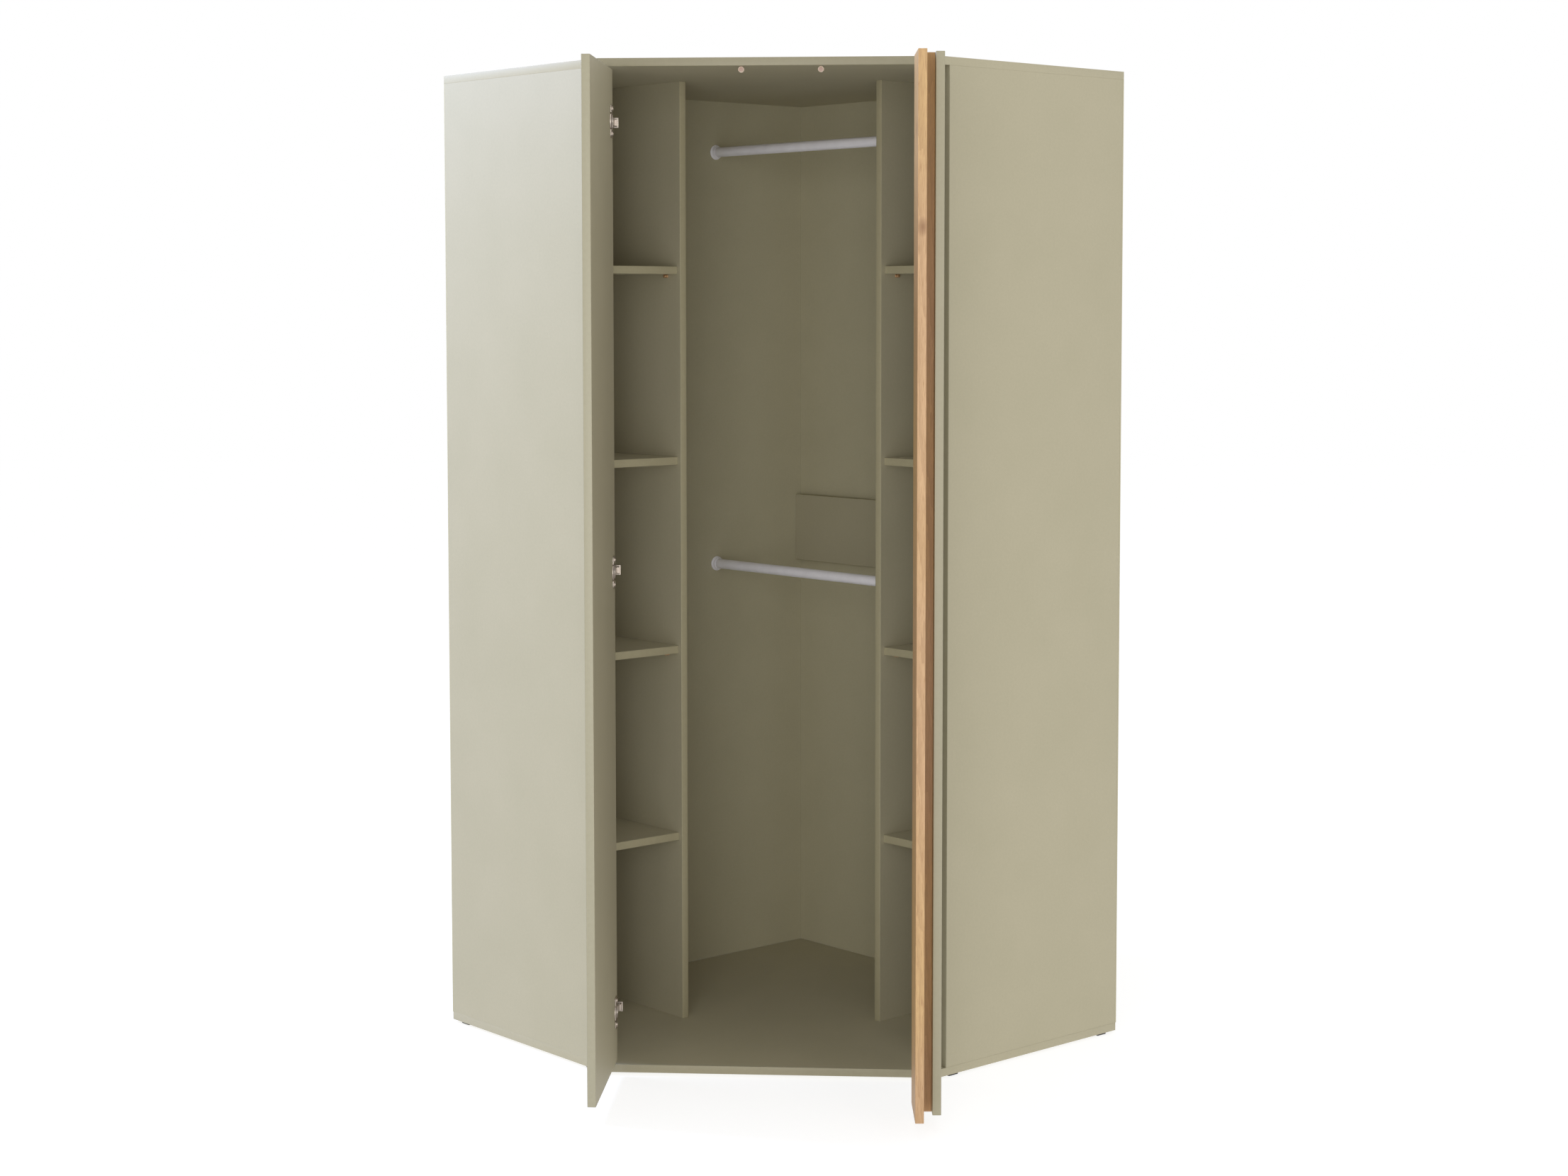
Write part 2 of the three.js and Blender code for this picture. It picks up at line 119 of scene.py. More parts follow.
def start_material(name):
    """A material, its node tree, its shader and the coordinates of the object it is on."""
    material = bpy.data.materials.new(name)
    material.use_nodes = True
    tree = material.node_tree
    place = add_node(tree, "TexCoord").outputs["Object"]
    return material, tree, tree.nodes["Principled BSDF"], place


MM = 0.001
PER_MM = 1000
FACTOR, COLOUR_A, COLOUR_B, MIXED = 0, 6, 7, 2
WHITE = linear("#ffffff")
print("sage as linear", [round(c, 3) for c in linear("#b2ae98")])

# %% [markdown]
# The room is left out: white all round, a white floor, and soft light. Light could come from
# lamps alone, but a product shot like this one is lit evenly from everywhere, so the world
# does much of it. It is full white to a ray that shows it, straight from the camera, in a
# reflection or through glass, and weaker to the rays that light the wardrobe.

# %% World
def showing_rays(tree):
    """1 for a ray that shows a thing: straight, mirrored or through glass. Otherwise 0."""
    path = add_node(tree, "LightPath")
    straight_or_mirrored = add_node(tree, "Math", {
        0: path.outputs["Is Camera Ray"],
        1: path.outputs["Is Glossy Ray"],
    }, operation="MAXIMUM")
    showing = add_node(tree, "Math", {
        0: straight_or_mirrored.outputs[0],
        1: path.outputs["Is Transmission Ray"],
    }, operation="MAXIMUM")
    return showing.outputs[0]


WORLD_STRENGTH = 0.62
world = bpy.data.worlds.new("studio")
bpy.context.scene.world = world
world.use_nodes = True
tree = world.node_tree
strength = add_node(tree, "MapRange", {
    "Value": showing_rays(tree),
    "To Min": WORLD_STRENGTH,
    "To Max": 1.0,
})
set_inputs(tree, tree.nodes["Background"], {"Color": WHITE, "Strength": strength.outputs[0]})
print("world strength", WORLD_STRENGTH)

# %% [markdown]
# The floor lights the wardrobe from below, so it glows a little besides throwing light back.
# A plain white floor would show a grey horizon and a hard shadow. What the camera sees is
# therefore a second mixture, with more glow: it looks white and keeps a faint shadow. Seen
# from underneath the floor is clear, so that the underside can be looked at too.

# %% Floor
FLOOR_SIZE = 40
LIT_GREY, LIT_GLOW = 0.5, 0.65
SHOWN_GREY, SHOWN_GLOW = 0.34, 0.79


def glowing_paint(tree, grey, glow):
    """The shader of a grey paint that also gives off white light."""
    paint = add_node(tree, "BsdfDiffuse", {"Color": [grey, grey, grey, 1]})
    light = add_node(tree, "Emission", {"Color": WHITE, "Strength": glow})
    both = add_node(tree, "AddShader", {0: paint.outputs[0], 1: light.outputs[0]})
    return both.outputs[0]


floor_mesh = bpy.data.meshes.new("floor")
bm = bmesh.new()
bmesh.ops.create_grid(bm, x_segments=1, y_segments=1, size=FLOOR_SIZE / 2)
bm.to_mesh(floor_mesh)
bm.free()
floor = bpy.data.objects.new("floor", floor_mesh)
bpy.context.scene.collection.objects.link(floor)

floor_paint = bpy.data.materials.new("studio_floor")
floor_paint.use_nodes = True
tree = floor_paint.node_tree
tree.nodes.remove(tree.nodes["Principled BSDF"])
upper_side = add_node(tree, "MixShader", {
    0: showing_rays(tree),
    1: glowing_paint(tree, LIT_GREY, LIT_GLOW),
    2: glowing_paint(tree, SHOWN_GREY, SHOWN_GLOW),
})
one_sided = add_node(tree, "MixShader", {
    0: add_node(tree, "NewGeometry").outputs["Backfacing"],
    1: upper_side.outputs[0],
    2: add_node(tree, "BsdfTransparent").outputs[0],
})
set_inputs(tree, tree.nodes["Material Output"], {"Surface": one_sided.outputs[0]})
floor_mesh.materials.append(floor_paint)
print("floor", FLOOR_SIZE, "m square")

# %% [markdown]
# Three large lamps in front reach into the open inside, a weak one hangs above, and a cool
# one stands high on the left, where the pale sheen on the left side comes from. A larger
# lamp gives a softer shadow, so none is under a metre wide.

# %% Lamps
def add_softbox(name, place, aim, size, power, colour):
    """A square area lamp at place that points at aim. The camera doesn't see it."""
    lamp = bpy.data.lights.new(name, "AREA")
    lamp.shape = "SQUARE"
    lamp.size = size
    lamp.energy = power
    lamp.color = linear(colour)[:3]
    softbox = bpy.data.objects.new(name, lamp)
    softbox.location = place
    softbox.rotation_mode = "QUATERNION"
    softbox.rotation_quaternion = (Vector(aim) - Vector(place)).to_track_quat("-Z", "Y")
    softbox.visible_camera = False
    bpy.context.scene.collection.objects.link(softbox)
    print(name, power, "W")


SOFTBOXES = {
    "left_softbox": ((-2.7, 0.3, 3.25), (-0.5, -0.15, 1.5), 1.2, 132, "#bfd1ff"),
    "front_softbox": ((-0.5, -5.8, 1.8), (0, 0, 1.0), 2.4, 54, "#ffffff"),
    "low_softbox": ((0, -5.8, 0.5), (0, 0, 0.9), 2.0, 44, "#ffffff"),
    "right_softbox": ((3.2, -5.0, 1.7), (0, 0, 1.0), 2.0, 35, "#ffffff"),
    "top_softbox": ((0, -1.6, 5.0), (0, -0.2, 0.8), 3.0, 22, "#ffffff"),
}
for name, (place, aim, size, power, colour) in SOFTBOXES.items():
    add_softbox(name, place, aim, size, power, colour)

# %% [markdown]
# The boards are melamine-faced chipboard: printed paper soaked in resin, pressed hot onto the
# board by a plate with a fine pearl texture. It is matt, even, and a touch cloudy close up.
# The pearl is about 1.5 mm across, which is finer than a pixel of the whole picture, so a
# coarser one of 5 mm is laid over it, weak enough not to look like plaster. The clouds are
# counted by the metre, because they are as wide as a hand.

# %% Sage melamine
MELAMINE_CLOUDS_PER_METRE = 7.0
PEARL_SIZE = 1.5
SHOWN_PEARL_SIZE = 5
sage_board, tree, shader, place = start_material("melamine_faced_chipboard")
clouds = add_node(tree, "TexNoise", {
    "Vector": place,
    "Scale": MELAMINE_CLOUDS_PER_METRE,
    "Detail": 3.0,
})
speckle = add_node(tree, "TexNoise", {
    "Vector": place,
    "Scale": PER_MM / SHOWN_PEARL_SIZE,
    "Detail": 2.0,
})
pearl = add_node(tree, "TexNoise", {
    "Vector": place,
    "Scale": PER_MM / PEARL_SIZE,
    "Detail": 2.0,
})
tone = add_node(tree, "Mix", {
    FACTOR: clouds.outputs[0],
    COLOUR_A: linear("#aca58a"),
    COLOUR_B: linear("#b4ac92"),
}, data_type="RGBA")
grained = add_node(tree, "Mix", {
    FACTOR: speckle.outputs[0],
    COLOUR_A: linear("#e6e6e6"),
    COLOUR_B: WHITE,
}, data_type="RGBA")
colour = add_node(tree, "Mix", {
    FACTOR: 0.45,
    COLOUR_A: tone.outputs[MIXED],
    COLOUR_B: grained.outputs[MIXED],
}, data_type="RGBA", blend_type="MULTIPLY")
dull = add_node(tree, "MapRange", {"Value": speckle.outputs[0], "To Min": 0.5, "To Max": 0.62})
relief = add_node(tree, "Bump", {
    "Height": pearl.outputs[0],
    "Strength": 0.25,
    "Distance": 0.03 * MM,
})
set_inputs(tree, shader, {
    "Base Color": colour.outputs[MIXED],
    "Roughness": dull.outputs[0],
    "Normal": relief.outputs[0],
    "IOR": 1.48,
})
print("made", sage_board.name)

# %% [markdown]
# The raw edges of the doors and the sides are covered with ABS edging, 1 mm thick: an extruded
# plastic band in nearly the same colour, glued on and trimmed with a small round. It is a
# shade deeper than the faces and smoother, so its rounds catch the light. The front of the
# top and base has a darker copy, painted shade for the shadow between the open doors, and the
# boards inside have a paler, yellower copy, painted light for the deep inside.

# %% ABS edging
STREAK_SIZE = 9
WAVE_SIZE = 3


def abs_edging(name, deep, pale):
    """Extruded ABS band, streaked between two tones."""
    material, tree, shader, place = start_material(name)
    streaks = add_node(tree, "TexNoise", {"Vector": place, "Scale": PER_MM / STREAK_SIZE, "Detail": 3.0})
    colour = add_node(tree, "Mix", {
        FACTOR: streaks.outputs[0],
        COLOUR_A: linear(deep),
        COLOUR_B: linear(pale),
    }, data_type="RGBA")
    waves = add_node(tree, "TexNoise", {"Vector": place, "Scale": PER_MM / WAVE_SIZE, "Detail": 1.0})
    relief = add_node(tree, "Bump", {
        "Height": waves.outputs[0],
        "Strength": 0.12,
        "Distance": 0.03 * MM,
    })
    dull = add_node(tree, "MapRange", {"Value": streaks.outputs[0], "To Min": 0.4, "To Max": 0.5})
    set_inputs(tree, shader, {
        "Base Color": colour.outputs[MIXED],
        "Roughness": dull.outputs[0],
        "Normal": relief.outputs[0],
        "IOR": 1.5,
    })
    print("made", material.name)
    return material


sage_edging = abs_edging("abs_edging", "#979179", "#9f9981")
# Painted shade: a darker copy of the edging for the front of the top and base.
painted_shade_edging = abs_edging("painted_shade_abs_edging", "#898269", "#918a71")
# Painted light: a paler, yellower copy of the edging for the boards inside.
painted_light_edging = abs_edging("painted_light_abs_edging", "#a39b7e", "#aba385")

# %% [markdown]
# The backs are 3 mm hardboard, pressed wood fibre with a coat of sage paint. Its sage is
# paler than the melamine's: painted light, so that the deep inside reads brighter. The paint
# is flatter than melamine, and the fibres under it leave a slightly felted surface. The
# bundles of fibre are about 4 mm across.

# %% Painted hardboard
PAINT_CLOUDS_PER_METRE = 11.0
FIBRE_SIZE = 4
hardboard_with_painted_light, tree, shader, place = start_material("hardboard_with_painted_light")
clouds = add_node(tree, "TexNoise", {
    "Vector": place,
    "Scale": PAINT_CLOUDS_PER_METRE,
    "Detail": 4.0,
})
fibres = add_node(tree, "TexNoise", {
    "Vector": place,
    "Scale": PER_MM / FIBRE_SIZE,
    "Detail": 5.0,
    "Distortion": 1.5,
})
# Painted light: this sage is paler than the melamine's, to brighten the inside.
tone = add_node(tree, "Mix", {
    FACTOR: clouds.outputs[0],
    COLOUR_A: linear("#b8b194"),
    COLOUR_B: linear("#c0b99c"),
}, data_type="RGBA")
felt = add_node(tree, "Mix", {
    FACTOR: fibres.outputs[0],
    COLOUR_A: linear("#dedede"),
    COLOUR_B: WHITE,
}, data_type="RGBA")
colour = add_node(tree, "Mix", {
    FACTOR: 0.5,
    COLOUR_A: tone.outputs[MIXED],
    COLOUR_B: felt.outputs[MIXED],
}, data_type="RGBA", blend_type="MULTIPLY")
relief = add_node(tree, "Bump", {
    "Height": fibres.outputs[0],
    "Strength": 0.3,
    "Distance": 0.06 * MM,
})
set_inputs(tree, shader, {
    "Base Color": colour.outputs[MIXED],
    "Roughness": 0.7,
    "Normal": relief.outputs[0],
    "IOR": 1.46,
})
print("made", hardboard_with_painted_light.name)

# %% [markdown]
# The grip is oak: rings cut lengthwise, so that they run as long lines down the strip and
# close into arches here and there, with short dark pores between them and a few small knots.
# The rings are bands across the board, bent by a noise that is stretched along the height.
# The pores are a fast noise stretched far more. The hue drifts slowly from pink to gold, as
# it does where one board follows another in a jointed panel. The spacer behind the strip gets
# a darker copy of the oak, painted shade for its sunk place in the grip's recess. A stretch is
# a share: at 0.04 a pore is 25 times as long as it is wide.

# %% Oak
RING_SIZE = 34
DRIFT_SIZE = 22
PORE_SIZE = 0.9
HUE_SIZE = 420
KNOTS_PER_METRE = 9.0
RING_STRETCH, PORE_STRETCH, KNOT_STRETCH = 0.09, 0.04, 0.55
RING_TURN = 0.5


def sawn_oak(name, pink, gold):
    """Oak whose hue drifts between two tones along the board."""
    material, tree, shader, place = start_material(name)
    along = add_node(tree, "Mapping", {
        "Vector": place,
        "Rotation": (0, 0, RING_TURN),
        "Scale": (1, 1, RING_STRETCH),
    })
    drift = add_node(tree, "TexNoise", {
        "Vector": along.outputs[0],
        "Scale": PER_MM / DRIFT_SIZE,
        "Detail": 3.0,
        "Distortion": 0.8,
    })
    rings = add_node(tree, "TexWave", {
        "Vector": along.outputs[0],
        "Scale": PER_MM / RING_SIZE,
        "Distortion": 11.0,
        "Detail": 3.0,
        "Detail Scale": 1.6,
    }, wave_type="BANDS", bands_direction="DIAGONAL", wave_profile="SAW")
    fine = add_node(tree, "Mapping", {"Vector": place, "Scale": (1, 1, PORE_STRETCH)})
    pores = add_node(tree, "TexNoise", {
        "Vector": fine.outputs[0],
        "Scale": PER_MM / PORE_SIZE,
        "Detail": 4.0,
        "Roughness": 0.6,
    })
    pore_mask = add_node(tree, "MapRange", {
        "Value": pores.outputs[0],
        "From Min": 0.32,
        "From Max": 0.5,
    })
    knot_place = add_node(tree, "Mapping", {"Vector": place, "Scale": (1, 1, KNOT_STRETCH)})
    knots = add_node(tree, "TexVoronoi", {
        "Vector": knot_place.outputs[0],
        "Scale": KNOTS_PER_METRE,
    })
    knot_mask = add_node(tree, "MapRange", {
        "Value": knots.outputs["Distance"],
        "From Min": 0.02,
        "From Max": 0.1,
    })
    slow = add_node(tree, "TexNoise", {"Vector": place, "Scale": PER_MM / HUE_SIZE, "Detail": 1.0})
    hue_share = add_node(tree, "MapRange", {"Value": slow.outputs[0], "From Min": 0.4, "From Max": 0.6})
    hue = add_node(tree, "Mix", {
        FACTOR: hue_share.outputs[0],
        COLOUR_A: linear(pink),
        COLOUR_B: linear(gold),
    }, data_type="RGBA")
    ring_tone = add_node(tree, "Mix", {
        FACTOR: rings.outputs[0],
        COLOUR_A: linear("#dcd6cf"),
        COLOUR_B: WHITE,
    }, data_type="RGBA")
    drift_tone = add_node(tree, "Mix", {
        FACTOR: drift.outputs[0],
        COLOUR_A: linear("#ddd8d2"),
        COLOUR_B: WHITE,
    }, data_type="RGBA")
    ringed = add_node(tree, "Mix", {
        FACTOR: 0.6,
        COLOUR_A: hue.outputs[MIXED],
        COLOUR_B: ring_tone.outputs[MIXED],
    }, data_type="RGBA", blend_type="MULTIPLY")
    wood = add_node(tree, "Mix", {
        FACTOR: 0.6,
        COLOUR_A: ringed.outputs[MIXED],
        COLOUR_B: drift_tone.outputs[MIXED],
    }, data_type="RGBA", blend_type="MULTIPLY")
    with_pores = add_node(tree, "Mix", {
        FACTOR: pore_mask.outputs[0],
        COLOUR_A: linear("#a17b51"),
        COLOUR_B: wood.outputs[MIXED],
    }, data_type="RGBA")
    with_knots = add_node(tree, "Mix", {
        FACTOR: knot_mask.outputs[0],
        COLOUR_A: linear("#8a6542"),
        COLOUR_B: with_pores.outputs[MIXED],
    }, data_type="RGBA")
    relief = add_node(tree, "Bump", {
        "Height": pore_mask.outputs[0],
        "Strength": 0.25,
        "Distance": 0.06 * MM,
    })
    set_inputs(tree, shader, {
        "Base Color": with_knots.outputs[MIXED],
        "Roughness": 0.52,
        "Normal": relief.outputs[0],
        "IOR": 1.5,
    })
    print("made", material.name)
    return material


oak = sawn_oak("flat_sawn_oak", "#c6a178", "#c8a46f")
# Painted shade: a darker copy of the oak for the spacer in the grip's recess.
painted_shade_oak = sawn_oak("painted_shade_sawn_oak", "#c09667", "#c1985e")

# %% [markdown]
# The rods are steel tube with a pale grey powder coat. The powder melts in the oven and sets
# as a satin skin with a faint orange peel, waves of about 2 mm, so a rod shows a soft round
# shading and no mirror image. Their pressed sockets are coated in the same bath.

# %% Powder-coated steel
PEEL_SIZE = 2
FLOW_SIZE = 25
powder_coat, tree, shader, place = start_material("powder_coated_steel")
peel = add_node(tree, "TexNoise", {"Vector": place, "Scale": PER_MM / PEEL_SIZE, "Detail": 2.0})
flow = add_node(tree, "TexNoise", {"Vector": place, "Scale": PER_MM / FLOW_SIZE, "Detail": 2.0})
colour = add_node(tree, "Mix", {
    FACTOR: flow.outputs[0],
    COLOUR_A: linear("#ebe8ec"),
    COLOUR_B: linear("#f8f6fa"),
}, data_type="RGBA")
dull = add_node(tree, "MapRange", {"Value": flow.outputs[0], "To Min": 0.4, "To Max": 0.52})
relief = add_node(tree, "Bump", {
    "Height": peel.outputs[0],
    "Strength": 0.2,
    "Distance": 0.04 * MM,
})
set_inputs(tree, shader, {
    "Base Color": colour.outputs[MIXED],
    "Roughness": dull.outputs[0],
    "Normal": relief.outputs[0],
    "IOR": 1.5,
})
print("made", powder_coat.name)

# %% [markdown]
# The hinges are stamped steel with matt nickel plating. Nickel is a warm grey metal, a bit
# pink beside chrome, and stamping leaves it uneven in patches of about 6 mm, so its
# reflection is soft and wavers.

# %% Nickel-plated steel
STAMPING_SIZE = 6
nickel, tree, shader, place = start_material("nickel_plated_steel")
hammer = add_node(tree, "TexNoise", {"Vector": place, "Scale": PER_MM / STAMPING_SIZE, "Detail": 4.0})
colour = add_node(tree, "Mix", {
    FACTOR: hammer.outputs[0],
    COLOUR_A: linear("#b4a99d"),
    COLOUR_B: linear("#cbc1b6"),
}, data_type="RGBA")
dull = add_node(tree, "MapRange", {"Value": hammer.outputs[0], "To Min": 0.28, "To Max": 0.44})
relief = add_node(tree, "Bump", {
    "Height": hammer.outputs[0],
    "Strength": 0.15,
    "Distance": 0.1 * MM,
})
set_inputs(tree, shader, {
    "Base Color": colour.outputs[MIXED],
    "Metallic": 1.0,
    "Roughness": dull.outputs[0],
    "Normal": relief.outputs[0],
})
print("made", nickel.name)

# %% [markdown]
# The shelf pins are turned steel with a thin copper wash under lacquer. It is paler and softer
# than solid copper, more like old gold, and worn in spots of 2 or 3 mm.

# %% Copper-washed steel
WEAR_SIZE = 2.5
copper_wash, tree, shader, place = start_material("copper_washed_steel")
wear = add_node(tree, "TexNoise", {"Vector": place, "Scale": PER_MM / WEAR_SIZE, "Detail": 4.0})
colour = add_node(tree, "Mix", {
    FACTOR: wear.outputs[0],
    COLOUR_A: linear("#d3a479"),
    COLOUR_B: linear("#efcba3"),
}, data_type="RGBA")
dull = add_node(tree, "MapRange", {"Value": wear.outputs[0], "To Min": 0.4, "To Max": 0.58})
relief = add_node(tree, "Bump", {
    "Height": wear.outputs[0],
    "Strength": 0.1,
    "Distance": 0.05 * MM,
})
set_inputs(tree, shader, {
    "Base Color": colour.outputs[MIXED],
    "Metallic": 1.0,
    "Roughness": dull.outputs[0],
    "Normal": relief.outputs[0],
})
print("made", copper_wash.name)

# %% [markdown]
# The door stops are soft moulded plastic, pale and slightly see-through, with a pinker pad in
# the middle. The feet are black polyethylene glides with the dull bloom of moulded plastic.
# Each is a little cloudy, in spots as fine as the piece is small.

# %% Moulded plastics
STOP_CLOUD_SIZE = 4
PAD_CLOUD_SIZE = 3
BLOOM_SIZE = 2
stop_plastic, tree, shader, place = start_material("soft_moulded_plastic")
cloud = add_node(tree, "TexNoise", {
    "Vector": place,
    "Scale": PER_MM / STOP_CLOUD_SIZE,
    "Detail": 2.0,
})
colour = add_node(tree, "Mix", {
    FACTOR: cloud.outputs[0],
    COLOUR_A: linear("#c7b2a0"),
    COLOUR_B: linear("#d6c4b2"),
}, data_type="RGBA")
set_inputs(tree, shader, {
    "Base Color": colour.outputs[MIXED],
    "Roughness": 0.5,
    "Subsurface Weight": 0.15,
    "Subsurface Scale": 1 * MM,
    "IOR": 1.45,
})

pad_plastic, tree, shader, place = start_material("soft_pad_plastic")
cloud = add_node(tree, "TexNoise", {
    "Vector": place,
    "Scale": PER_MM / PAD_CLOUD_SIZE,
    "Detail": 2.0,
})
colour = add_node(tree, "Mix", {
    FACTOR: cloud.outputs[0],
    COLOUR_A: linear("#b4978a"),
    COLOUR_B: linear("#c0a396"),
}, data_type="RGBA")
set_inputs(tree, shader, {"Base Color": colour.outputs[MIXED], "Roughness": 0.6, "IOR": 1.45})

black_glide, tree, shader, place = start_material("black_polyethylene")
bloom = add_node(tree, "TexNoise", {"Vector": place, "Scale": PER_MM / BLOOM_SIZE, "Detail": 3.0})
colour = add_node(tree, "Mix", {
    FACTOR: bloom.outputs[0],
    COLOUR_A: linear("#191817"),
    COLOUR_B: linear("#282624"),
}, data_type="RGBA")
relief = add_node(tree, "Bump", {
    "Height": bloom.outputs[0],
    "Strength": 0.3,
    "Distance": 0.05 * MM,
})
set_inputs(tree, shader, {
    "Base Color": colour.outputs[MIXED],
    "Roughness": 0.6,
    "Normal": relief.outputs[0],
    "IOR": 1.5,
})
print("made", stop_plastic.name, pad_plastic.name, black_glide.name)

# %% [markdown]
# The boards stay as the frame has them. Their meshes are loose triangles, so a Weld joins
# them, a planar Decimate clears the flat faces, and a Bevel takes the sharp arris off, as a
# hand with sandpaper would. Last, a Weighted Normal lets the large faces decide how the
# corners are shaded, so that a flat board looks flat right up to its round. Each node gets
# the finish of its material slot, apart from the spacer behind the grip, which gets the
# darker oak with painted shade.

# %% Dress the frame's nodes
FINISHES = {
    "sage_board": sage_board,
    "back_board": hardboard_with_painted_light,
    "oak": oak,
    "chrome": powder_coat,
    "nickel": nickel,
    "copper": copper_wash,
    "bumper": stop_plastic,
    "black_glide": black_glide,
}
BOARD_SLOTS = ("sage_board", "oak")
ARRIS = 0.4 * MM
THIN_ARRIS = 0.25 * MM
SHARP = math.radians(40)
FLAT = math.radians(0.5)
TOUCHING = 0.001 * MM


def soften(piece, width, segments=2):
    """A small round on every sharp arris of a piece."""
    arris = piece.modifiers.new("arris", "BEVEL")
    arris.width = width
    arris.segments = segments
    arris.limit_method = "ANGLE"
    arris.angle_limit = SHARP
    even = piece.modifiers.new("even_normals", "WEIGHTED_NORMAL")
    even.mode = "FACE_AREA"
    even.weight = 100
    even.keep_sharp = True


slots = {part["node"]: part["material_slot"] for part in frame["record"]["subparts"]}
for name, node in frame["nodes"].items():
    node.data.materials.clear()
    node.data.materials.append(FINISHES[slots[name]])
    weld = node.modifiers.new("weld", "WELD")
    weld.merge_threshold = TOUCHING
    flat_faces = node.modifiers.new("flat_faces", "DECIMATE")
    flat_faces.decimate_type = "DISSOLVE"
    flat_faces.angle_limit = FLAT
    if slots[name] != "back_board":
        soften(node, ARRIS if slots[name] in BOARD_SLOTS else THIN_ARRIS)
frame["nodes"]["grip_spacer"].data.materials[0] = painted_shade_oak
print("dressed", len(frame["nodes"]), "nodes")

# %% [markdown]
# The small pieces are placed the way a joiner would measure them. In a wing, u runs along
# the back from the side panel to the corner, and v runs from the back to the front. On a
# door, w runs from the hinge axis to the free edge, and y goes through its thickness. Both
# are matrices here, so that a piece is written once and made on either side.

# %% Places to measure from
LEFT, RIGHT = -1, 1
WORDS = {LEFT: "left", RIGHT: "right"}
SLOPE = math.sqrt(0.5)
BOARD = 16
SIDE_LENGTH = 525
AXIS_STANDOFF = 7.5
AXIS_X = 325.5
OPEN_ANGLE = {LEFT: math.radians(90), RIGHT: math.radians(94)}
top_low, top_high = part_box("top_panel")
FRONT_Y = top_low.y
WING_X = top_high.x
LEG = WING_X / SLOPE / MM


def wing_frame(side):
    place = Matrix.Translation((side * WING_X, FRONT_Y + SIDE_LENGTH * MM * SLOPE, 0))
    turn = Matrix.Rotation(-side * math.pi / 4, 4, "Z")
    return place @ turn @ Matrix.Diagonal((-side * MM, -MM, MM, 1))


def door_frame(side):
    place = Matrix.Translation((side * AXIS_X * MM, FRONT_Y - AXIS_STANDOFF * MM, 0))
    turn = Matrix.Rotation(side * OPEN_ANGLE[side], 4, "Z")
    return place @ turn @ Matrix.Diagonal((-side * MM, MM, MM, 1))


FRONT_FRAME = Matrix.Translation((0, FRONT_Y, 0)) @ Matrix.Diagonal((MM, MM, MM, 1))
WINGS = {side: wing_frame(side) for side in (LEFT, RIGHT)}
DOORS = {side: door_frame(side) for side in (LEFT, RIGHT)}
corner = WINGS[LEFT] @ Vector((LEG, 0, 0))
print("corner of the backs", [round(c, 4) for c in corner], "leg", round(LEG, 2))

# %% [markdown]
# Four helpers build nearly all of the hardware: a place to build at, a block between two
# corners, a profile spun about an axis, and a last step that merges doubles, turns the
# normals outwards and hands the piece to its body. A turned piece could be a cylinder with
# cuts, but a profile is how a lathe or a mould would describe it. The trial shows how many
# faces a step of a spin costs.

# %% Helpers for pieces
def placed(base, point, towards):
    """A matrix with its origin at a point of a frame and its Z along a direction there."""
    spot = base @ Vector(point)
    way = (base.to_3x3() @ Vector(towards)).normalized()
    return Matrix.Translation(spot) @ way.to_track_quat("Z", "Y").to_matrix().to_4x4()


def add_block(bm, base, low, high, rounding=0, segments=2):
    """A box between two corners of a frame, in mm, with its edges rounded."""
    low, high = Vector(low), Vector(high)
    size, middle = high - low, (high + low) / 2
    shape = Matrix.Translation(middle) @ Matrix.Diagonal((*size, 1))
    verts = bmesh.ops.create_cube(bm, size=1, matrix=base @ shape)["verts"]
    if rounding:
        edges = list({edge for vert in verts for edge in vert.link_edges})
        bmesh.ops.bevel(bm, geom=edges, affect="EDGES", offset=rounding * MM, offset_type="OFFSET",
                        segments=segments, profile=0.5, material=-1)


def add_turned(bm, profile, place, steps=48):
    """A profile of (radius, height) points in mm, spun about the Z of a place."""
    known = set(bm.verts)
    verts = [bm.verts.new((radius * MM, 0, height * MM)) for radius, height in profile]
    edges = [bm.edges.new(pair) for pair in zip(verts, verts[1:])]
    bmesh.ops.spin(bm, geom=verts + edges, cent=(0, 0, 0), axis=(0, 0, 1), steps=steps,
                   angle=math.tau, use_merge=True)
    made = [vert for vert in bm.verts if vert not in known]
    bmesh.ops.transform(bm, matrix=place, verts=made)


def finish_piece(name, bm, material, body):
    bmesh.ops.remove_doubles(bm, verts=bm.verts, dist=TOUCHING)
    bmesh.ops.recalc_face_normals(bm, faces=bm.faces)
    mesh = bpy.data.meshes.new(name)
    bm.to_mesh(mesh)
    bm.free()
    mesh.materials.append(material)
    mesh.shade_smooth()
    mesh.set_sharp_from_angle(angle=SHARP)
    piece = bpy.data.objects.new(name, mesh)
    bpy.context.scene.collection.objects.link(piece)
    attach(piece, body)
    return piece


trial = bmesh.new()
add_turned(trial, [(1, 0), (1, 1), (2, 1)], Matrix.Identity(4), 12)
print("a profile of 2 lines spun in 12 steps has", len(trial.faces), "faces")
trial.free()

# %% [markdown]
# Each visible board edge carries its own band. It stands 0.3 mm proud of the cut edge, laps
# the faces by a hair and has a round of 0.9 mm, which catches a thin line of light. A shader
# could fake that line, but a real round also holds up close and from behind. What faces the
# room has ABS. The sides of the top and base, which run on flush from the side panels, have
# a band of the same paper as their faces, with a smaller round.

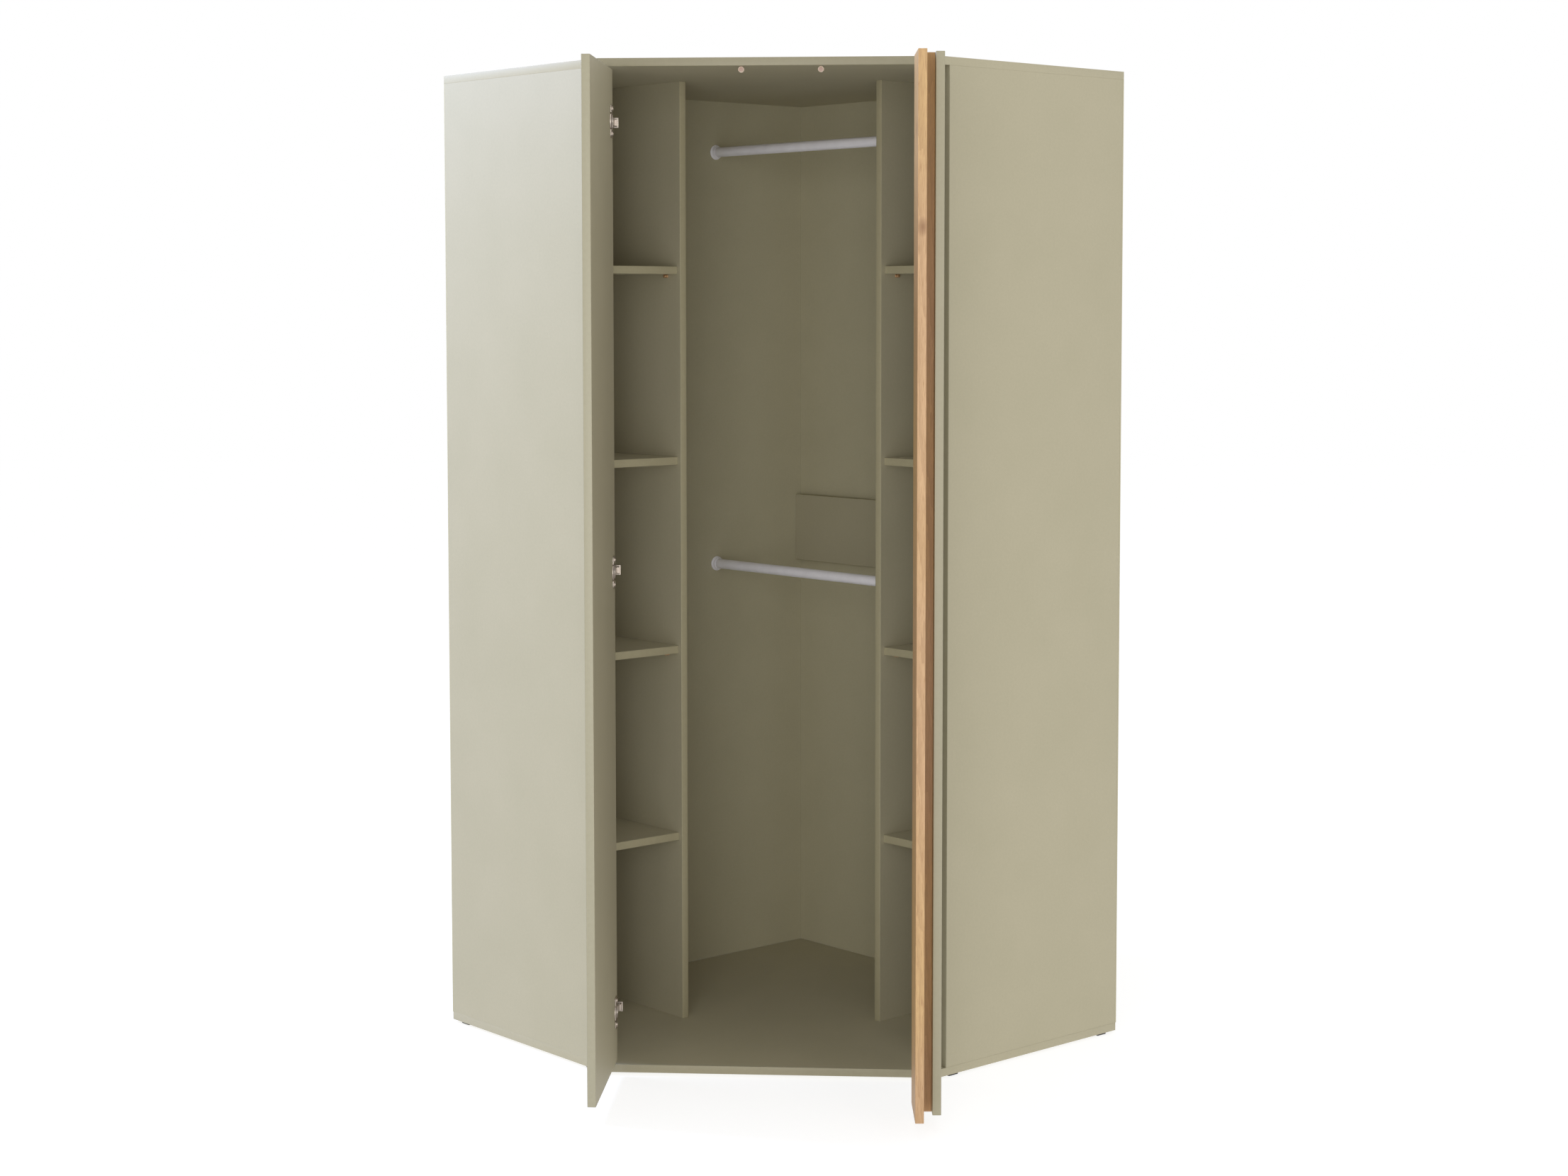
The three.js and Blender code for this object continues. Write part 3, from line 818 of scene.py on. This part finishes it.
# %% Edging
BAND_PROUD = 0.3
BAND_SUNK = 1.4
BAND_LAP = 0.06
BAND_ROUND = 0.9
FLUSH_ROUND = 0.4
BASE_LEVELS = (6, 22)
TOP_LEVELS = (1984, 2000)
CLEAR_LEVELS = (22, 1984)
SIDE_FRONT = 502
PARTITION = (333, 349)
PARTITION_FRONT = 367
SHELF_FRONT = 357
SHELF_TOPS = (417.6, 813.2, 1208.8, 1604.4)
HALF_FRONT = 332
BACK_BOARD = 3
CORNER_CLEAR = 2
REAR_CLEAR = 4
SHELF_CLEAR = 0.4
BAND_SEGMENTS = 3


def add_band(bm, base, axis, outward, edge, low, high, rounding=BAND_ROUND):
    """A band on the plane where one axis of a frame is edge, facing outward (+1 or -1)."""
    low, high = list(low), list(high)
    low[axis], high[axis] = sorted((edge + outward * BAND_PROUD, edge - outward * BAND_SUNK))
    add_block(bm, base, low, high, rounding, BAND_SEGMENTS)


def band_piece(name, bm, material, body="carcass"):
    piece = finish_piece(name, bm, material, body)
    print(name, len(piece.data.polygons), "faces")


for name, levels in (("top_panel", TOP_LEVELS), ("base_panel", BASE_LEVELS)):
    low_z, high_z = levels[0] - BAND_LAP, levels[1] + BAND_LAP
    if name == "top_panel":
        high_z = levels[1]
    bm = bmesh.new()
    add_band(bm, FRONT_FRAME, 1, -1, 0, (-HALF_FRONT, 0, low_z), (HALF_FRONT, 0, high_z))
    # The front band takes the darker edging, which paints the shade between the doors.
    band_piece(f"{name}_front_edging", bm, painted_shade_edging)
    bm = bmesh.new()
    for side in (LEFT, RIGHT):
        low, high = (0, CORNER_CLEAR, low_z), (0, SIDE_LENGTH, high_z)
        add_band(bm, WINGS[side], 0, -1, 0, low, high, FLUSH_ROUND)
        if name == "base_panel":
            low, high = (CORNER_CLEAR, 0, low_z), (LEG - REAR_CLEAR, 0, levels[1])
            add_band(bm, WINGS[side], 1, -1, BACK_BOARD, low, high, FLUSH_ROUND)
    band_piece(f"{name}_side_edging", bm, sage_board)

for side in (LEFT, RIGHT):
    word = WORDS[side]
    bm = bmesh.new()
    low, high = (-BAND_LAP, 0, CLEAR_LEVELS[0]), (BOARD + BAND_LAP, 0, CLEAR_LEVELS[1])
    add_band(bm, WINGS[side], 1, 1, SIDE_FRONT, low, high)
    band_piece(f"{word}_side_panel_edging", bm, sage_edging)
    bm = bmesh.new()
    low = (PARTITION[0] - BAND_LAP, 0, CLEAR_LEVELS[0])
    high = (PARTITION[1] + BAND_LAP, 0, CLEAR_LEVELS[1])
    add_band(bm, WINGS[side], 1, 1, PARTITION_FRONT, low, high)
    # The bands inside take the paler edging, which paints light into the inside.
    band_piece(f"{word}_partition_edging", bm, painted_light_edging)
    for place, top in enumerate(SHELF_TOPS, 1):
        bm = bmesh.new()
        low = (BOARD + SHELF_CLEAR, 0, top - BOARD - BAND_LAP)
        high = (PARTITION[0] - SHELF_CLEAR, 0, top + BAND_LAP)
        add_band(bm, WINGS[side], 1, 1, SHELF_FRONT, low, high)
        band_piece(f"{word}_shelf_{place}_edging", bm, painted_light_edging)

RAIL_CLEAR = 0.5
RAIL_US = (PARTITION[1] + RAIL_CLEAR, LEG - BACK_BOARD - RAIL_CLEAR)
RAIL_VS = (3.3, 19.3)
RAIL_LEVELS = (929.5, 1082.5)
bm = bmesh.new()
for edge, outward in zip(RAIL_LEVELS, (-1, 1)):
    low, high = (RAIL_US[0], RAIL_VS[0], 0), (RAIL_US[1], RAIL_VS[1] + BAND_LAP, 0)
    add_band(bm, WINGS[RIGHT], 2, outward, edge, low, high)
band_piece("back_rail_edging", bm, painted_light_edging)

# %% [markdown]
# The doors have a band on all four edges. The long ones go on first at the factory, and the
# short ones run between them, so the long ones are full height here.

# %% Door edging
DOOR_BODY = {LEFT: "left_door", RIGHT: "right_door"}
DOOR_YS = (AXIS_STANDOFF - BAND_LAP, AXIS_STANDOFF + BOARD + BAND_LAP)
DOOR_LEVELS = (32.5, 1978)
HINGE_EDGE = -4.5
FREE_EDGE = {LEFT: 311.5, RIGHT: 319.5}
SHORT_BAND_INSET = 0.5
for side in (LEFT, RIGHT):
    ends = (HINGE_EDGE, FREE_EDGE[side])
    bm = bmesh.new()
    for edge, outward in zip(ends, (-1, 1)):
        low, high = (0, DOOR_YS[0], DOOR_LEVELS[0]), (0, DOOR_YS[1], DOOR_LEVELS[1])
        add_band(bm, DOORS[side], 0, outward, edge, low, high)
    for edge, outward in zip(DOOR_LEVELS, (-1, 1)):
        low = (ends[0] + SHORT_BAND_INSET, DOOR_YS[0], 0)
        high = (ends[1] - SHORT_BAND_INSET, DOOR_YS[1], 0)
        add_band(bm, DOORS[side], 2, outward, edge, low, high)
    band_piece(f"{WORDS[side]}_door_edging", bm, sage_edging, DOOR_BODY[side])

# %% [markdown]
# The rods are tubes with a real bore, cut square. Their sockets are pressed cups: a flange
# with a rolled rim, and a collar that the tube drops into. All of them are turned shapes.

# %% Rods and sockets
ROD_RADIUS = 11
ROD_BORE = 9.8
ROD_CHAMFER = 0.3
ROD_STEPS = 64
ROD_DEPTH = 261.4
ROD_LEVELS = {"upper": 1869.7, "lower": 935}
ROD_ENDS = (352.6, LEG - 6.6)
SOCKET_FACES = {"right": (349.3, 1), "left": (LEG - 3.3, -1)}
SOCKET = [
    (0, 0), (15.6, 0), (16.5, 0.7), (16.5, 1.8), (15.9, 2.6), (14.6, 3.0), (13.7, 3.6),
    (13.3, 4.4), (13.3, 9.3), (12.9, 9.9), (12.2, 10), (11.5, 9.8), (11.3, 9.2), (11.3, 3), (0, 3),
]
ROD_LENGTH = ROD_ENDS[1] - ROD_ENDS[0]
TUBE = [
    (ROD_BORE, 0), (ROD_RADIUS - ROD_CHAMFER, 0), (ROD_RADIUS, ROD_CHAMFER),
    (ROD_RADIUS, ROD_LENGTH - ROD_CHAMFER), (ROD_RADIUS - ROD_CHAMFER, ROD_LENGTH),
    (ROD_BORE, ROD_LENGTH), (ROD_BORE, 0),
]
for word, level in ROD_LEVELS.items():
    bm = bmesh.new()
    start = placed(WINGS[RIGHT], (ROD_ENDS[0], ROD_DEPTH, level), (1, 0, 0))
    add_turned(bm, TUBE, start, ROD_STEPS)
    rod = finish_piece(f"{word}_hanging_rod", bm, powder_coat, "carcass")
    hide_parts(f"{word}_rod")
    for hand, (face, way) in SOCKET_FACES.items():
        bm = bmesh.new()
        add_turned(bm, SOCKET, placed(WINGS[RIGHT], (face, ROD_DEPTH, level), (way, 0, 0)))
        socket = finish_piece(f"{word}_rod_{hand}_flange", bm, powder_coat, "carcass")
        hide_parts(f"{word}_rod_{hand}_socket")
    print(word, "rod", round(ROD_LENGTH, 1), "mm long")

# %% [markdown]
# A shelf pin is turned in one go: a stem for the hole, a collar against the board, a neck
# and a head. The shelf lies on its two rims. The frame holds the front pins, and the rear
# ones, which the photograph only hints at, are made here in the same shape.

# %% Shelf pins
PIN = [
    (0, -8), (2.2, -8), (2.5, -7.6), (2.5, 0.3), (3.3, 0.3), (3.5, 0.5), (3.5, 1.7), (3.0, 2.3),
    (3.0, 6.4), (3.5, 7.0), (3.5, 8.5), (3.1, 9), (0, 9),
]
PIN_STEPS = 28
PIN_DEPTH = 325
REAR_PIN_DEPTH = 45
PIN_DROP = 3.8
PINNED = {2: 797.2, 4: 1588.4}
for side in (LEFT, RIGHT):
    for place, underside in PINNED.items():
        for carrier, face, way in (("side", BOARD, 1), ("partition", PARTITION[0], -1)):
            name = f"{WORDS[side]}_{carrier}_pin_{place}"
            level = underside - PIN_DROP
            bm = bmesh.new()
            spot = placed(WINGS[side], (face, PIN_DEPTH, level), (way, 0, 0))
            add_turned(bm, PIN, spot, PIN_STEPS)
            pin = finish_piece(f"{name}_turned", bm, copper_wash, "carcass")
            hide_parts(name)
            bm = bmesh.new()
            spot = placed(WINGS[side], (face, REAR_PIN_DEPTH, level), (way, 0, 0))
            add_turned(bm, PIN, spot, PIN_STEPS)
            finish_piece(f"{name}_rear", bm, copper_wash, "carcass")
print("pins", 8 * len(PINNED), "with the rear ones")

# %% [markdown]
# Each foot is a moulded glide, a square pad nailed up into the board close to its edge. From
# the front only its outer face shows, as a short black dash under the board. Its rim is
# rounded where it slides, so that it doesn't dig into a carpet.

# %% Feet
FOOT_HEIGHT = 6
FOOT_HALF = 12.5
FOOT_REACH = 2
FOOT_ROUND = 0.7
FOOT_SEGMENTS = 3
for name in [n for n in frame["nodes"] if n.endswith("_foot")]:
    low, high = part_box(name)
    middle = (low + high) / 2
    side = LEFT if middle.x < 0 else RIGHT
    spot = WINGS[side].inverted() @ Vector((middle.x, middle.y, 0))
    reach = 0 if name == "corner_foot" else FOOT_REACH
    bm = bmesh.new()
    low = (spot.x - FOOT_HALF - reach, spot.y - FOOT_HALF, 0)
    high = (spot.x + FOOT_HALF, spot.y + FOOT_HALF, FOOT_HEIGHT)
    add_block(bm, WINGS[side], low, high, FOOT_ROUND, FOOT_SEGMENTS)
    glide = finish_piece(f"{name}_glide", bm, black_glide, "carcass")
    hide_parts(name)
print("feet", sum(n.endswith("_foot") for n in frame["nodes"]))

# %% [markdown]
# A door stop is a soft round buffer on a short saddle under the top panel. Its face is a
# raised ring round a sunk pad, and the closed door meets the ring.

# %% Door stops
STOP_RADIUS = 6
STOP = [
    (0, 0.7), (4.0, 0.7), (4.3, 0.1), (5.2, 0), (5.8, 0.4), (STOP_RADIUS, 1.2),
    (STOP_RADIUS, 10.4), (5.4, 11), (0, 11),
]
STOP_PAD = [(0, 0.35), (3.2, 0.4), (3.8, 0.75), (3.8, 1.2), (0, 1.2)]
STOP_STEPS = 40
SADDLE = ((-3, 5, 0), (3, 11, STOP_RADIUS))
SADDLE_ROUND = 0.4
for side in (LEFT, RIGHT):
    name = f"{WORDS[side]}_door_stop"
    low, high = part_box(name)
    front = Matrix.Translation(((low.x + high.x) / 2, low.y, low.z + STOP_RADIUS * MM))
    face = front @ Vector((0, 1, 0)).to_track_quat("Z", "Y").to_matrix().to_4x4()
    bm = bmesh.new()
    add_turned(bm, STOP, face, STOP_STEPS)
    add_block(bm, front @ Matrix.Scale(MM, 4), *SADDLE, SADDLE_ROUND)
    stop = finish_piece(f"{name}_buffer", bm, stop_plastic, "carcass")
    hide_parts(name)
    bm = bmesh.new()
    add_turned(bm, STOP_PAD, face, STOP_STEPS)
    finish_piece(f"{name}_pad", bm, pad_plastic, "carcass")

# %% [markdown]
# Every hinge is held by cross-head screws. One head is made from a small grid: its middle
# cross is pushed in, its rim is drawn out to a circle and down to the plate, and the whole
# is domed. That keeps it to a few dozen faces, because there are 36 of them.

# %% Screw head
HEAD_CELLS = 5
HEAD_HEIGHT = 1.5
HEAD_DOME = 0.6
HEAD_SUNK = 0.2
RECESS = 0.45
RIM_SHARE = 0.95
SCREW_RADIUS = 4.7


def add_screw(bm, place, radius):
    """A pan head with a cross recess, seated on the XY plane of a place."""
    known = set(bm.verts)
    reach = radius * MM
    grid = bmesh.ops.create_grid(bm, x_segments=HEAD_CELLS, y_segments=HEAD_CELLS, size=reach)
    made = grid["verts"]
    faces = list({face for vert in made for face in vert.link_faces})
    cell = 2 * reach / HEAD_CELLS
    cross = [f for f in faces if sum(abs(round(c / cell)) for c in f.calc_center_median().xy) <= 1]
    rim = [vert for vert in made if max(abs(vert.co.x), abs(vert.co.y)) > RIM_SHARE * reach]
    for vert in rim:
        vert.co.xy = vert.co.xy.normalized() * reach
    for vert in made:
        share = vert.co.xy.length / reach
        vert.co.z = (HEAD_HEIGHT + HEAD_DOME * (1 - share ** 2)) * MM
    sunk = bmesh.ops.extrude_face_region(bm, geom=cross)["geom"]
    floor_verts = [item for item in sunk if isinstance(item, bmesh.types.BMVert)]
    bmesh.ops.translate(bm, verts=floor_verts, vec=(0, 0, -RECESS * MM))
    bmesh.ops.delete(bm, geom=[f for f in cross if f.is_valid], context="FACES")
    outline = [edge for edge in {e for v in rim for e in v.link_edges} if len(edge.link_faces) == 1]
    skirt = bmesh.ops.extrude_edge_only(bm, edges=outline)["geom"]
    for item in skirt:
        if isinstance(item, bmesh.types.BMVert):
            item.co.z = -HEAD_SUNK * MM
    hem = [item for item in skirt if isinstance(item, bmesh.types.BMEdge)]
    bmesh.ops.contextual_create(bm, geom=hem)
    bmesh.ops.transform(bm, matrix=place, verts=[vert for vert in bm.verts if vert not in known])


bm = bmesh.new()
add_screw(bm, Matrix.Identity(4), SCREW_RADIUS)
open_edges = sum(len(edge.link_faces) != 2 for edge in bm.edges)
print("screw head", len(bm.faces), "faces,", open_edges, "open edges")
bm.free()

# %% [markdown]
# The cup of a hinge is drawn from sheet steel and pressed into the door's bore. Its lip is
# rolled over, and two broad ears carry the screws. It is made again here, because the
# frame's one has few sides. The tongue stands in for a link, and stays where the frame has it.

# %% Hinge cups
CUP_W = 18
EAR_HALF_WIDTH = 13.5
EAR_ENDS = (16.2, 31.5)
EAR_YS = (23.8, 25.8)
EAR_CORNER = 6
EAR_SEGMENTS = 6
CUP = [
    (0, 12.3), (15.6, 12.3), (16.8, 12.8), (17.2, 13.9), (17.2, 23.8), (18.5, 23.8), (18.5, 25.1),
    (18.0, 25.7), (17.2, 25.8), (16.4, 25.6), (16.0, 25.0), (16.0, 14.8), (15.4, 13.8),
    (14.4, 13.5), (0, 13.5),
]
CUP_STEPS = 56
CUP_ARRIS = 0.3 * MM
TONGUE_WS = (-19.2, 0.9)
TONGUE_HALF = 6
TONGUE_ROUND = 0.4
FLANGE_SCREW = 24
NEAR = 0.01 * MM
HINGES = [
    (side, f"{WORDS[side]}_{place}_hinge")
    for side in (LEFT, RIGHT)
    for place in ("top", "middle", "bottom")
]


def level_of(node):
    """The height of a node's middle, in mm."""
    low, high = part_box(node)
    return (low.z + high.z) / 2 / MM


def add_ear(bm, base, level, way):
    """One ear of the flange, with its two outer corners rounded in its own plane."""
    ends = sorted((level + way * EAR_ENDS[0], level + way * EAR_ENDS[1]))
    low = Vector((CUP_W - EAR_HALF_WIDTH, EAR_YS[0], ends[0]))
    high = Vector((CUP_W + EAR_HALF_WIDTH, EAR_YS[1], ends[1]))
    shape = Matrix.Translation((low + high) / 2) @ Matrix.Diagonal((*(high - low), 1))
    verts = bmesh.ops.create_cube(bm, size=1, matrix=base @ shape)["verts"]
    outer = (level + way * EAR_ENDS[1]) * MM
    corners = [
        edge for edge in {e for v in verts for e in v.link_edges}
        if all(abs(v.co.z - outer) < NEAR for v in edge.verts)
        and abs(edge.calc_length() - (EAR_YS[1] - EAR_YS[0]) * MM) < NEAR
    ]
    bmesh.ops.bevel(bm, geom=corners, affect="EDGES", offset=EAR_CORNER * MM, offset_type="OFFSET",
                    segments=EAR_SEGMENTS, profile=0.5, material=-1)


for side, name in HINGES:
    level = level_of(f"{name}_cup")
    base = DOORS[side]
    bm = bmesh.new()
    add_turned(bm, CUP, placed(base, (CUP_W, 0, level), (0, 1, 0)), CUP_STEPS)
    for way in (-1, 1):
        add_ear(bm, base, level, way)
    low = (TONGUE_WS[0], EAR_YS[0], level - TONGUE_HALF)
    high = (TONGUE_WS[1], EAR_YS[1], level + TONGUE_HALF)
    add_block(bm, base, low, high, TONGUE_ROUND)
    cup = finish_piece(f"{name}_drawn_cup", bm, nickel, DOOR_BODY[side])
    soften(cup, CUP_ARRIS)
    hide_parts(f"{name}_cup")
    bm = bmesh.new()
    for way in (-1, 1):
        spot = (CUP_W, EAR_YS[1], level + way * FLANGE_SCREW)
        add_screw(bm, placed(base, spot, (0, 1, 0)), SCREW_RADIUS)
    finish_piece(f"{name}_cup_screws", bm, nickel, DOOR_BODY[side])
    print(name, "cup at", round(level, 1), "mm,", len(cup.data.polygons), "faces")

# %% [markdown]
# The arms and plates keep the frame's shape. Their screw heads get a proper cross recess,
# and each arm gets its second screw, the small one that shifts the door sideways.

# %% Screws of the arms and plates
PLATE_TOP = 18.3
PLATE_V = 475
PLATE_SCREW = 16
ARM_TOP = 40.7
ARM_SCREW_V = 470.1
SHIFT_SCREW_V = 500
SHIFT_SCREW_RADIUS = 3.4
for side, name in HINGES:
    level = level_of(f"{name}_plate")
    screws = [
        ((PLATE_TOP, PLATE_V, level - PLATE_SCREW), SCREW_RADIUS),
        ((PLATE_TOP, PLATE_V, level + PLATE_SCREW), SCREW_RADIUS),
        ((ARM_TOP, ARM_SCREW_V, level), SCREW_RADIUS),
        ((ARM_TOP, SHIFT_SCREW_V, level), SHIFT_SCREW_RADIUS),
    ]
    bm = bmesh.new()
    for spot, radius in screws:
        add_screw(bm, placed(WINGS[side], spot, (1, 0, 0)), radius)
    finish_piece(f"{name}_arm_screws", bm, nickel, "carcass")
print("screws of", len(HINGES), "arms and plates made")

# %% [markdown]
# The thin backs are nailed to the boards behind them: down both uprights, and along the two
# shelves that are fixed. The heads are a row of small discs, each slightly domed.

# %% Nails in the backs
NAIL = [(0, -0.3), (2.4, -0.3), (2.4, 0.2), (1.8, 0.45), (0, 0.5)]
NAIL_STEPS = 12
NAIL_PITCH = 150
UPRIGHT_US = (8, 341)
LOWEST_NAIL = 50
NAILS_UP = 13
FIXED_SHELVES = (SHELF_TOPS[0], SHELF_TOPS[2])
FIRST_SHELF_NAIL = 70
SHELF_NAIL_PITCH = 68
FIRST_RAIL_NAIL = 420
NAILS_ALONG = 4
RAIL_NAIL_INSET = 25
nail_levels = [LOWEST_NAIL + NAIL_PITCH * step for step in range(NAILS_UP)]
shelf_us = [FIRST_SHELF_NAIL + SHELF_NAIL_PITCH * step for step in range(NAILS_ALONG)]
rail_us = [FIRST_RAIL_NAIL + NAIL_PITCH * step for step in range(NAILS_ALONG)]
rail_levels = (RAIL_LEVELS[0] + RAIL_NAIL_INSET, RAIL_LEVELS[1] - RAIL_NAIL_INSET)
for side in (LEFT, RIGHT):
    spots = [(u, z) for u in UPRIGHT_US for z in nail_levels]
    spots += [(u, top - BOARD / 2) for u in shelf_us for top in FIXED_SHELVES]
    if side == RIGHT:
        spots += [(u, z) for u in rail_us for z in rail_levels]
    bm = bmesh.new()
    for u, z in spots:
        add_turned(bm, NAIL, placed(WINGS[side], (u, 0, z), (0, -1, 0)), NAIL_STEPS)
    finish_piece(f"{WORDS[side]}_back_nails", bm, nickel, "carcass")
    print(WORDS[side], "back:", len(spots), "nails")
